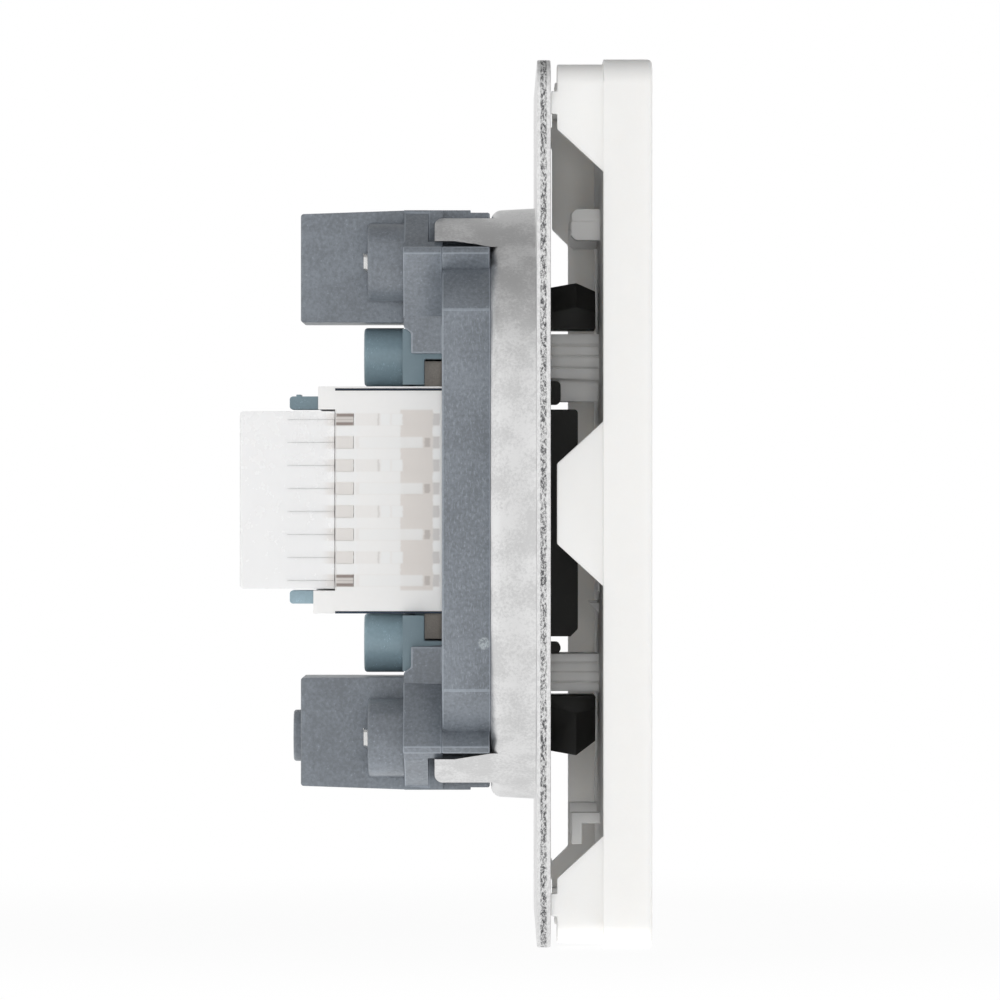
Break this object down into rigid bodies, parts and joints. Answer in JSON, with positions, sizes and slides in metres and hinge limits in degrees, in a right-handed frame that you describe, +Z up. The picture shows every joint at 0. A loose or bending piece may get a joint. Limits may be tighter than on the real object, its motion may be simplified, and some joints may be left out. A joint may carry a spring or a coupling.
{
  "type": "flush telephone socket module",
  "caption": "Flush wall telephone socket: square white cover, steel support plate with drawn collar, jack and rear terminal block with clear wire cap.",
  "frame": {"origin": "centre of the support plate, in its rear (wall) face, midway between the box screw slots", "axes": "-Y towards the front of the cover, +Y into the wall box, +Z up, +X to the right seen from the front"},
  "size_m": [0.071, 0.0337, 0.071],
  "materials": {
    "white_plastic": "warm white, satin gloss",
    "zinc_steel": "matt zinc plated sheet steel",
    "grey_plastic": "blue-grey, fine spark texture",
    "board": "glass-filled laminate",
    "teal_plastic": "teal-grey, satin",
    "milky_plastic": "milky white, slightly clear",
    "clear_plastic": "clear moulded plastic",
    "black_plastic": "black, satin",
    "tinned_bronze": "tinned bronze",
    "gold_bronze": "gold plated wire",
    "screw_steel": "bright zinc plated"
  },
  "bodies": {
    "socket": {"support_plate": "zinc_steel", "base_frame": "grey_plastic", "circuit_board": "board", "jack_holder": "teal_plastic", "idc_housing": "milky_plastic", "jack_housing": "black_plastic", "contact_carrier": "black_plastic", "upper_latch": "black_plastic", "lower_latch": "black_plastic", "idc_contact_1": "tinned_bronze", "idc_contact_2": "tinned_bronze", "idc_contact_3": "tinned_bronze", "idc_contact_4": "tinned_bronze", "idc_contact_5": "tinned_bronze", "idc_contact_6": "tinned_bronze", "idc_contact_7": "tinned_bronze", "idc_contact_8": "tinned_bronze", "jack_contact_1": "gold_bronze", "jack_contact_2": "gold_bronze", "jack_contact_3": "gold_bronze", "jack_contact_4": "gold_bronze", "jack_contact_5": "gold_bronze", "jack_contact_6": "gold_bronze", "jack_contact_7": "gold_bronze", "jack_contact_8": "gold_bronze", "fixing_screw_1": "screw_steel", "fixing_screw_2": "screw_steel", "fixing_screw_3": "screw_steel", "fixing_screw_4": "screw_steel"},
    "cover": {"cover": "white_plastic"},
    "wire_cap": {"wire_cap": "clear_plastic"}
  },
  "joints": [
    {"name": "cover_pull", "type": "slide", "parent": "socket", "child": "cover", "axis": [0, -1, 0], "range_m": [0, 0.012]},
    {"name": "cap_pull", "type": "slide", "parent": "socket", "child": "wire_cap", "axis": [0, 1, 0], "range_m": [0, 0.008]}
  ]
}
